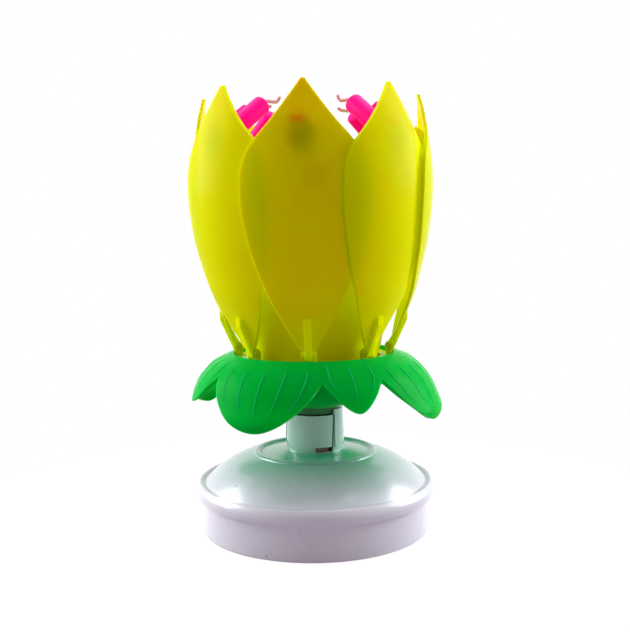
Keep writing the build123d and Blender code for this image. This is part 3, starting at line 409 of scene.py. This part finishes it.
def plain_moulding(name, color, roughness=0.45, grain_scale=2.5):
    """Plain plastic with a fine uneven grain."""
    finish = Finish(name)
    place = finish.place()
    grain = finish.noise(place, grain_scale, 3.0)
    tone = finish.blend(grain * 0.5, color, tuple(c * 0.86 for c in color))
    return finish.surface(
        base_color=tone, roughness=finish.between(grain, roughness, roughness + 0.12),
        specular_ior_level=0.4, normal=finish.bump(grain, 0.15, 0.04 * MM))


def cell_finish():
    """Plain two-tone jacket with a bare steel end."""
    finish = Finish("cell_jacket")
    place = finish.place()
    x = finish.parts(place)[0]
    band = finish.step(x, *JACKET_BAND)
    tone = finish.blend(band, flat_color(38, 46, 66), flat_color(188, 158, 98))
    end = (x > CELL_FAR_END) + (x < CELL_NEAR_END)
    tone = finish.blend(end, tone, flat_color(196, 196, 196))
    scuffs = finish.noise(finish.stretched(place, (0.4, 3, 3)), 1.0, 3.0)
    return finish.surface(
        base_color=tone, metallic=finish.between(end, 0.35, 1.0), roughness=finish.between(scuffs, 0.22, 0.4),
        normal=finish.bump(scuffs, 0.08, 0.03 * MM))


def board_finish():
    """Green laminate with paler copper tracks under its lacquer."""
    finish = Finish("board_laminate")
    place = finish.place()
    tracks = finish.node(
        "ShaderNodeTexWave", {"wave_type": "BANDS", "bands_direction": "DIAGONAL"},
        {"Vector": place, "Scale": 0.35, "Distortion": 2.0, "Detail": 1.0})
    lines = finish.step(finish.parts(tracks)[0], 0.82, 0.9)
    tone = finish.blend(lines, flat_color(24, 92, 48), flat_color(62, 138, 84))
    return finish.surface(
        base_color=tone, roughness=finish.between(lines, 0.42, 0.3),
        normal=finish.bump(lines, 0.3, 0.04 * MM))


def paper_finish():
    """Rolled paper with the slanting seam of its winding."""
    finish = Finish("rolled_paper")
    place = finish.place()
    x, y, z = finish.parts(place)
    angle = x.math("ARCTAN2", y)
    seam = (z * 0.16 + angle / (2 * pi)).math("FRACT")
    line = finish.step(seam, 0.06, 0.0)
    fibres = finish.noise(finish.stretched(place, (2, 2, 6)), 1.0, 4.0, 0.7)
    tone = finish.blend(fibres, flat_color(214, 205, 186), flat_color(236, 230, 214))
    tone = finish.blend(line * 0.5, tone, flat_color(150, 140, 122))
    return finish.surface(
        base_color=tone, roughness=0.85, specular_ior_level=0.2,
        normal=finish.bump(fibres - line, 0.25, 0.06 * MM))


def powder_finish():
    """Pressed grey grains."""
    finish = Finish("pressed_powder")
    place = finish.place()
    grains = finish.node("ShaderNodeTexVoronoi", {}, {"Vector": place, "Scale": 2.6}, out=0)
    tone = finish.blend(grains, flat_color(58, 58, 60), flat_color(112, 112, 114))
    return finish.surface(
        base_color=tone, roughness=0.8, specular_ior_level=0.5, normal=finish.bump(grains, 0.6, 0.12 * MM))


# Modelling helpers


def deselect():
    """Leave any edit mode and select nothing."""
    if bpy.context.object and bpy.context.object.mode != "OBJECT":
        bpy.ops.object.mode_set(mode="OBJECT")
    bpy.ops.object.select_all(action="DESELECT")


def only(piece):
    """Select one piece alone and make it active."""
    deselect()
    piece.select_set(True)
    bpy.context.view_layer.objects.active = piece


def settle(piece, name, material, body):
    """Name a finished piece, put its place into its mesh and let it ride."""
    only(piece)
    bpy.ops.object.transform_apply(location=True, rotation=True, scale=True)
    piece.name = piece.data.name = name
    piece.data.materials.clear()
    piece.data.materials.append(material)
    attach(piece, body)


def outward(azimuth):
    """Level direction away from the turning axis; zero azimuth is the front."""
    return Vector((sin(radians(azimuth)), -cos(radians(azimuth)), 0))


def sideways(azimuth):
    """Level direction across the outward one, to the right of a viewer outside."""
    return Vector((cos(radians(azimuth)), sin(radians(azimuth)), 0))


def drawn_line(points, radii, name):
    """Round bar along smooth points, its thickness given at each, made a mesh."""
    curve = bpy.data.curves.new(name, "CURVE")
    curve.dimensions, curve.bevel_depth, curve.bevel_resolution = "3D", 1.0, 2
    curve.resolution_u, curve.use_fill_caps = 3, True
    spline = curve.splines.new("NURBS")
    spline.points.add(len(points) - 1)
    for point, place, radius in zip(spline.points, points, radii):
        point.co, point.radius = (*place, 1), radius
    spline.order_u, spline.use_endpoint_u = 3, True
    piece = bpy.data.objects.new(name, curve)
    bpy.context.scene.collection.objects.link(piece)
    only(piece)
    bpy.ops.object.convert(target="MESH")
    return bpy.context.object


def smooth_route(corners):
    """Points along a smooth line that runs from the first corner to the last."""
    route = bpy.data.curves.new("route", "CURVE")
    route.dimensions, route.resolution_u = "3D", 12
    spline = route.splines.new("NURBS")
    spline.points.add(len(corners) - 1)
    for point, place in zip(spline.points, corners):
        point.co = (*place, 1)
    spline.order_u, spline.use_endpoint_u = 3, True
    holder = bpy.data.objects.new("route", route)
    bpy.context.scene.collection.objects.link(holder)
    line = bpy.data.meshes.new_from_object(holder)
    points = [v.co.copy() for v in line.vertices]
    bpy.data.objects.remove(holder)
    bpy.data.meshes.remove(line)
    return points


def twisted_strands(corners, across, radius, pitch, start_turn, count=3):
    """Strands laid round a smooth route, one full turn for each pitch of length."""
    centre = smooth_route(corners)
    spread = radius * {2: 0.92, 3: 0.86}[count]
    strands = []
    for strand in range(count):
        points, walked = [], 0.0
        for i, place in enumerate(centre):
            if i:
                walked += (place - centre[i - 1]).length
            ahead = (centre[min(i + 1, len(centre) - 1)] - centre[max(i - 1, 0)]).normalized()
            up = ahead.cross(across).normalized()
            turn = 2 * pi * (walked / pitch + strand / count) + start_turn
            points.append(place + (across * cos(turn) + up * sin(turn)) * spread)
        radii = [radius] * len(points)
        radii[-1] *= 0.55
        strands.append(drawn_line(points, radii, "strand"))
    return round_off(joined(strands), 60)


def joined(pieces):
    """The pieces as one object."""
    deselect()
    for piece in pieces:
        piece.select_set(True)
    bpy.context.view_layer.objects.active = pieces[0]
    if len(pieces) > 1:
        bpy.ops.object.join()
    return bpy.context.object


def round_off(piece, angle):
    """Shade smooth over edges up to an angle in degrees."""
    only(piece)
    bpy.ops.object.shade_smooth_by_angle(angle=radians(angle))
    return piece


# Veins on the leaves

LEAF_MIDDLE = FLOWER_TURN + PETAL_TURN / 2
NOTCH_HEIGHT = 47.6
VEIN_TOP = 51.3
VEIN_STEPS = 8
RAY_START = 60 * MM
COLLAR_REACH, TIP_REACH, REACH_DROP = 31.0, 36.0, 14.0

# A leaf's tip level and half width at the notch, then shares of that width at shares of its drop
BIG_LEAF = {"tip": 34.6, "width": 15.6, "shares": [(1, 0), (0.86, 0.4), (0.6, 0.72), (0, 1)]}
SMALL_LEAF = {"tip": 39.6, "width": 9.0, "shares": [(1, 0), (0.66, 0.45), (0.42, 0.74), (0, 1)]}


def leaf_half_width(leaf, height):
    """Half width of a leaf in millimetres at a height, straight between its named points."""
    drop = (NOTCH_HEIGHT - height) / (NOTCH_HEIGHT - leaf["tip"])
    if drop <= 0:
        return leaf["width"]
    for (w0, d0), (w1, d1) in zip(leaf["shares"], leaf["shares"][1:]):
        if drop <= d1:
            return leaf["width"] * (w0 + (w1 - w0) * (drop - d0) / (d1 - d0))
    return 0.0


class CANDLE_OT_leaf_veins(bpy.types.Operator):
    """Raised veins that run down each leaf and draw together at its tip"""
    bl_idname = "lotus.leaf_veins"
    bl_label = "Leaf veins"

    def execute(self, context):
        sizes, colors = context.scene.lotus_sizes, context.scene.lotus_colors
        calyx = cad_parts["calyx"]
        veins = []
        for index in range(PETALS):
            leaf = BIG_LEAF if index % 2 else SMALL_LEAF
            middle = LEAF_MIDDLE + PETAL_TURN * index
            spread = (-0.8, -0.4, 0, 0.4, 0.8) if index % 2 else (-0.72, 0, 0.72)
            for share in spread:
                end = leaf["tip"] + (2.2 if share == 0 else 2.6 + 2.6 * abs(share))
                points = []
                for step in range(VEIN_STEPS + 1):
                    height = VEIN_TOP + (end - VEIN_TOP) * step / VEIN_STEPS
                    side = share * leaf_half_width(leaf, height)
                    down = min(1, (VEIN_TOP - height) / REACH_DROP)
                    reach = COLLAR_REACH + (TIP_REACH - COLLAR_REACH) * down
                    azimuth = middle + side / reach * 180 / pi
                    away = outward(azimuth)
                    start = Vector((0, 0, height * MM)) + away * RAY_START
                    hit, place, normal, _ = calyx.ray_cast(start, -away)
                    if hit:
                        points.append(place - normal * (sizes.vein_width / 2 - sizes.vein_rise))
                thick = [sizes.vein_width / 2 * (1 - 0.45 * i / VEIN_STEPS) for i in range(len(points))]
                thick[0] *= 0.5
                thick[-1] *= 0.4
                veins.append(drawn_line(points, thick, "vein"))
        piece = round_off(joined(veins), 60)
        # The veins wear the paler finish, a painted highlight.
        settle(piece, "leaf_veins", leaf_finish("leaf_vein_plastic", colors, True), "flower")
        return {"FINISHED"}


# Candles and wicks

CANDLE_LEAN = 37.0
CANDLE_RADIUS = 2.6 * MM
CANDLE_LENGTH = 17.0 * MM
TOP_ROUNDING = 0.75 * MM
CONE_INSET, CONE_SLOPE, CONE_RISE = 0.9 * MM, 0.45 * MM, 0.3 * MM
SEAM_REACH, SEAM_HALF_WIDTH = 0.05 * MM, 0.16 * MM
HAIR = 0.01 * MM
WICK_PITCH = 2.3 * MM
THREAD_RADIUS, THREAD_PITCH = 0.15 * MM, 1.6 * MM
FUSE_RADIUS, FUSE_PITCH, FUSE_BEND = 0.34 * MM, 3.2 * MM, 2.8 * MM

# Each wick's inward run, its rise at the tip and its drift to the side, in millimetres
WICK_SHAPES = (
    (4.0, 0.9, 0.3), (3.9, 1.7, -0.2), (4.1, 2.0, 0.1), (4.3, 0.6, 0.3),
    (4.0, 1.4, -0.3), (3.7, 1.2, 0.2), (4.2, 0.5, -0.1), (4.1, 1.6, 0.2),
)


def candle_axis(number):
    """Start, end, direction and azimuth of a candle, read from its CAD node."""
    azimuth = FLOWER_TURN + PETAL_TURN * (number - 1)
    along = outward(azimuth) * -cos(radians(CANDLE_LEAN)) + Vector((0, 0, sin(radians(CANDLE_LEAN))))
    low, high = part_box("candle_%d" % number)
    middle = (low + high) / 2
    return middle - along * CANDLE_LENGTH / 2, middle + along * CANDLE_LENGTH / 2, along, azimuth


class CANDLE_OT_wicks(bpy.types.Operator):
    """Twisted cotton wicks that bend in towards the middle of the flower"""
    bl_idname = "lotus.wicks"
    bl_label = "Wicks"

    def execute(self, context):
        sizes, colors = context.scene.lotus_sizes, context.scene.lotus_colors
        material = yarn_finish("waxed_wick", colors.wick)
        for number in range(1, PETALS + 1):
            _, end, along, azimuth = candle_axis(number)
            inward, across = -outward(azimuth), sideways(azimuth)
            run, rise, drift = WICK_SHAPES[number - 1]
            bend = end + along * 1.4 * MM
            level = bend + inward * run * MM + across * drift * MM
            tip = level + Vector((0, 0, rise * MM)) + inward * 0.7 * MM
            root = end - along * 0.3 * MM
            corners = [root, root + along * 1.0 * MM, bend, bend.lerp(level, 0.5), level, tip]
            piece = twisted_strands(corners, across, sizes.strand_radius, WICK_PITCH, number)
            settle(piece, "wick_yarn_%d" % number, material, "petal_%d" % number)
            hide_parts("wick_%d" % number)
        return {"FINISHED"}


class CANDLE_OT_candles(bpy.types.Operator):
    """Small wax candles with a softened top edge, a wax cone at the wick and a faint mould seam"""
    bl_idname = "lotus.candles"
    bl_label = "Candles"

    def execute(self, context):
        material = wax_finish(context.scene.lotus_colors)
        for number in range(1, PETALS + 1):
            start, end, along, _ = candle_axis(number)
            deselect()
            bpy.ops.mesh.primitive_cylinder_add(
                vertices=48, radius=CANDLE_RADIUS, depth=CANDLE_LENGTH, end_fill_type="NGON")
            piece = bpy.context.object
            bpy.ops.object.mode_set(mode="EDIT")
            bpy.ops.mesh.select_mode(type="FACE")
            bpy.ops.mesh.select_all(action="DESELECT")
            bpy.ops.object.mode_set(mode="OBJECT")
            for face in piece.data.polygons:
                face.select = face.normal.z > 0.9
            bpy.ops.object.mode_set(mode="EDIT")
            bpy.ops.mesh.bevel(offset=TOP_ROUNDING, segments=5, affect="EDGES")
            bpy.ops.object.mode_set(mode="OBJECT")
            top = max(v.co.z for v in piece.data.vertices)
            for face in piece.data.polygons:
                face.select = face.normal.z > 0.99 and face.center.z > top - HAIR
            bpy.ops.object.mode_set(mode="EDIT")
            bpy.ops.mesh.inset(thickness=CONE_INSET)
            bpy.ops.mesh.inset(thickness=CONE_SLOPE, depth=CONE_RISE)
            bpy.ops.mesh.select_all(action="DESELECT")
            bpy.ops.object.mode_set(mode="OBJECT")
            for edge in piece.data.edges:
                one, other = (piece.data.vertices[index].co for index in edge.vertices)
                if abs(one.z - other.z) > CANDLE_LENGTH / 2:
                    edge.select = abs(one.x + other.x) / 2 < SEAM_REACH
            bpy.ops.object.mode_set(mode="EDIT")
            bpy.ops.mesh.select_mode(type="EDGE")
            bpy.ops.mesh.bevel(offset=SEAM_HALF_WIDTH, segments=2, affect="EDGES", profile=1.0)
            bpy.ops.mesh.select_all(action="DESELECT")
            bpy.ops.object.mode_set(mode="OBJECT")
            round_off(piece, 50)
            turn = along.to_track_quat("Z", "Y").to_matrix().to_4x4()
            piece.matrix_world = Matrix.Translation((start + end) / 2) @ turn
            settle(piece, "wax_candle_%d" % number, material, "petal_%d" % number)
            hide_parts("candle_%d" % number)
        return {"FINISHED"}


# Finishes for the CAD nodes


class CANDLE_OT_casing(bpy.types.Operator):
    """Glossy white finish of the base, neck and hatch, with its screws"""
    bl_idname = "lotus.casing"
    bl_label = "Base and neck"

    def execute(self, context):
        white = context.scene.lotus_colors.casing
        # The third value is the painted green light from the leaves; the neck takes a milder painted green.
        material = casing_finish("glossy_casing", white, (0.08, 0.56, 0.32))
        for node in ("base_tray", "base_cover", "battery_hatch"):
            wear_dress(node, material)
        wear_dress("neck_sleeve", casing_finish("neck_casing", white, (0.46, 0.84, 0.62)))
        steel = metal_finish("plated_screw", flat_color(196, 198, 202), 0.25)
        for node in ("hatch_screw", "casing_screws", "switch_pin", "motor_shaft", "idler_post"):
            wear_dress(node, steel)
        wear_dress("hub", plain_moulding("hub_moulding", flat_color(10, 112, 52), 0.4))
        return {"FINISHED"}


class CANDLE_OT_works(bpy.types.Operator):
    """Finishes of the motor, gears, battery, sound board and switch inside the base"""
    bl_idname = "lotus.works"
    bl_label = "Inner works"

    def execute(self, context):
        nylon = plain_moulding("gear_nylon", flat_color(232, 230, 222))
        for node in ("neck_bush", "motor_cap", "motor_pinion", "idler_gear", "output_gear", "output_shaft"):
            wear_dress(node, nylon)
        wear_dress("motor_can", metal_finish("motor_steel", flat_color(178, 180, 184), 0.28, (1, 1, 8)))
        bright = metal_finish("spring_steel", flat_color(212, 212, 210), 0.18, (4, 4, 4))
        for node in ("contact_plate", "contact_spring", "spring_plate"):
            wear_dress(node, bright)
        brass = metal_finish("sounder_brass", flat_color(206, 168, 92), 0.24, (6, 1, 1))
        for node in ("sounder_disc", "switch_leaf", "switch_contact"):
            wear_dress(node, brass)
        wear_dress("battery_cell", cell_finish())
        wear_dress("circuit_board", board_finish())
        wear_dress("music_chip", plain_moulding("chip_resin", flat_color(26, 26, 28), 0.2, 1.2))
        low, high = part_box("trigger_thread")
        corners = [Vector((0, 0, low.z + (high.z - low.z) * share)) for share in (0.0, 0.25, 0.5, 0.75, 1.0)]
        thread = twisted_strands(corners, Vector((1, 0, 0)), THREAD_RADIUS, THREAD_PITCH, 0.0, 2)
        settle(thread, "nylon_thread", yarn_finish("nylon_thread", flat_color(232, 232, 228), 8.0, 0.5),
               "base")
        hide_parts("trigger_thread")
        return {"FINISHED"}


class CANDLE_OT_flower(bpy.types.Operator):
    """Finishes of the petals, the inner cup, the ring that holds them and the green calyx"""
    bl_idname = "lotus.flower"
    bl_label = "Petals and calyx"

    def execute(self, context):
        colors = context.scene.lotus_colors
        for number in range(1, PETALS + 1):
            turn = -radians(FLOWER_TURN + PETAL_TURN * (number - 1))
            # The front petal gets the strongest painted socket shadow and candle glow; petals 2 to 7 glow as
            # painted light on the strip under the next petal.
            painted_socket_weight, covered_glow_weight = 0.2 if number == 1 else 0.03, 2.5 if 1 < number < 8 else 0.0
            finish = petal_finish("petal_plastic_%d" % number, colors, turn, 1.0, painted_socket_weight, covered_glow_weight)
            wear_dress("petal_%d" % number, finish)
        # Painted shade: the inner cup, the ring and the pins wear a darker copy of the petal finish.
        inner = petal_finish("inner_cup_plastic", colors, 0.0, 0.86)
        for node in ("inner_cup", "petal_ring", "hinge_pins"):
            wear_dress(node, inner)
        wear_dress("calyx", leaf_finish("calyx_plastic", colors))
        return {"FINISHED"}


class CANDLE_OT_sparkler(bpy.types.Operator):
    """Finishes of the sparkler in the middle of the flower"""
    bl_idname = "lotus.sparkler"
    bl_label = "Sparkler"

    def execute(self, context):
        wear_dress("sparkler_tube", paper_finish())
        wear_dress("sparkler_filling", powder_finish())
        low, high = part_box("sparkler_fuse")
        knee = Vector((0, 0, high.z - FUSE_BEND))
        end = Vector((high.x - 0.6 * MM, 0, high.z - 0.6 * MM))
        foot = Vector((0, 0, low.z))
        corners = [foot, foot.lerp(knee, 0.4), foot.lerp(knee, 0.8), knee, knee.lerp(end, 0.5), end]
        fuse = twisted_strands(corners, Vector((0, 1, 0)), FUSE_RADIUS, FUSE_PITCH, 0.0)
        settle(fuse, "twisted_fuse", yarn_finish("twisted_fuse", flat_color(150, 138, 112), 5.0),
               "flower")
        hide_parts("sparkler_fuse")
        return {"FINISHED"}


# Studio


FLOOR_SIZE = 6.0
FLOOR_TONE, FLOOR_GLOW = (0.34, 0.27, 0.32), 0.84
SHADE_NEAR, SHADE_FAR = 50.0, 130.0
ROOM_LIGHT = (0.31, 0.25, 0.29)
LAMP_COLOR, LAMP_AIM = (0.93, 0.97, 1.0), Vector((0, 0, 0.06))
LAMPS = (
    ("lamp_left", (-0.68, 0.16, 0.34), 0.5, 5.6),
    ("lamp_right", (0.68, 0.16, 0.34), 0.5, 5.6),
    ("lamp_top", (0.0, 0.25, 0.85), 0.8, 5.8),
)
SENSOR_WIDTH, FOCAL_LENGTH, CAMERA_SHIFT = 36, 50.18, 1.8 / 632
CAMERA_PITCH, CAMERA_ROLL = 4.93, -0.79


def lay_floor():
    """White table that shows the candle's shadow near it and is plain white farther off."""
    deselect()
    bpy.ops.mesh.primitive_plane_add(size=FLOOR_SIZE)
    floor = bpy.context.object
    floor.name = "table_top"
    finish = Finish("white_table")
    shaded = finish.node("ShaderNodeBsdfDiffuse", {}, {"Color": FLOOR_TONE})
    glow = finish.node("ShaderNodeEmission", {}, {"Color": (1, 1, 1), "Strength": FLOOR_GLOW})
    near = finish.node("ShaderNodeAddShader", {}, {0: shaded, 1: glow})
    far = finish.node("ShaderNodeEmission", {}, {"Color": (1, 1, 1), "Strength": 1.0})
    x, y, _ = finish.parts(finish.place())
    spread = finish.step(finish.distance(x, y), SHADE_NEAR, SHADE_FAR)
    white = finish.node("ShaderNodeMixShader", {}, {0: spread, 1: near, 2: far})
    mixed = finish.node("ShaderNodeMixShader", {}, {0: finish.seen(), 1: shaded, 2: white})
    floor.data.materials.append(finish.finished(mixed))


class CANDLE_OT_studio(bpy.types.Operator):
    """White table, white surroundings, soft lamps and the camera"""
    bl_idname = "lotus.studio"
    bl_label = "Studio"

    def execute(self, context):
        scene, sizes = context.scene, context.scene.lotus_sizes
        lay_floor()
        room = Finish("white_room", room=True)
        level = room.blend(room.seen(), ROOM_LIGHT, (1, 1, 1))
        scene.world = room.finished(room.node("ShaderNodeBackground", {}, {"Color": level}))
        for name, place, size, power in LAMPS:
            lamp = bpy.data.lights.new(name, "AREA")
            lamp.size, lamp.energy, lamp.color = size, power, LAMP_COLOR
            holder = bpy.data.objects.new(name, lamp)
            scene.collection.objects.link(holder)
            holder.location = place
            holder.rotation_euler = (LAMP_AIM - Vector(place)).to_track_quat("-Z", "Y").to_euler()

        lens = bpy.data.cameras.new("photo_view")
        lens.sensor_width, lens.lens, lens.shift_x = SENSOR_WIDTH, FOCAL_LENGTH, CAMERA_SHIFT
        lens.clip_start, lens.clip_end = 0.01, 20
        camera = bpy.data.objects.new("photo_view", lens)
        scene.collection.objects.link(camera)
        camera.location = (0, -sizes.camera_distance, sizes.camera_height)
        pitch = Matrix.Rotation(radians(90 - CAMERA_PITCH), 4, "X")
        camera.rotation_euler = (pitch @ Matrix.Rotation(radians(CAMERA_ROLL), 4, "Z")).to_euler()
        scene.camera = camera
        scene.view_settings.view_transform = "Standard"
        return {"FINISHED"}


class CANDLE_PT_panel(bpy.types.Panel):
    """Sizes, colours and the steps that dress the candle"""
    bl_idname = "CANDLE_PT_panel"
    bl_label = "Lotus candle"
    bl_space_type = "VIEW_3D"
    bl_region_type = "UI"
    bl_category = "Lotus Candle"

    def draw(self, context):
        layout = self.layout
        for group in (context.scene.lotus_sizes, context.scene.lotus_colors):
            box = layout.box()
            for name in group.__annotations__:
                box.prop(group, name)
        for step in STEPS:
            layout.operator(step.bl_idname)


STEPS = (
    CANDLE_OT_studio, CANDLE_OT_casing, CANDLE_OT_works, CANDLE_OT_flower, CANDLE_OT_leaf_veins,
    CANDLE_OT_candles, CANDLE_OT_wicks, CANDLE_OT_sparkler,
)
CLASSES = (CandleColors, CandleSizes) + STEPS + (CANDLE_PT_panel,)


def register():
    for cls in CLASSES:
        bpy.utils.register_class(cls)
    bpy.types.Scene.lotus_colors = bpy.props.PointerProperty(type=CandleColors)
    bpy.types.Scene.lotus_sizes = bpy.props.PointerProperty(type=CandleSizes)


def unregister():
    del bpy.types.Scene.lotus_sizes
    del bpy.types.Scene.lotus_colors
    for cls in reversed(CLASSES):
        bpy.utils.unregister_class(cls)


def main():
    register()
    for step in STEPS:
        family, name = step.bl_idname.split(".")
        getattr(getattr(bpy.ops, family), name)()


if __name__ == "__main__":
    main()
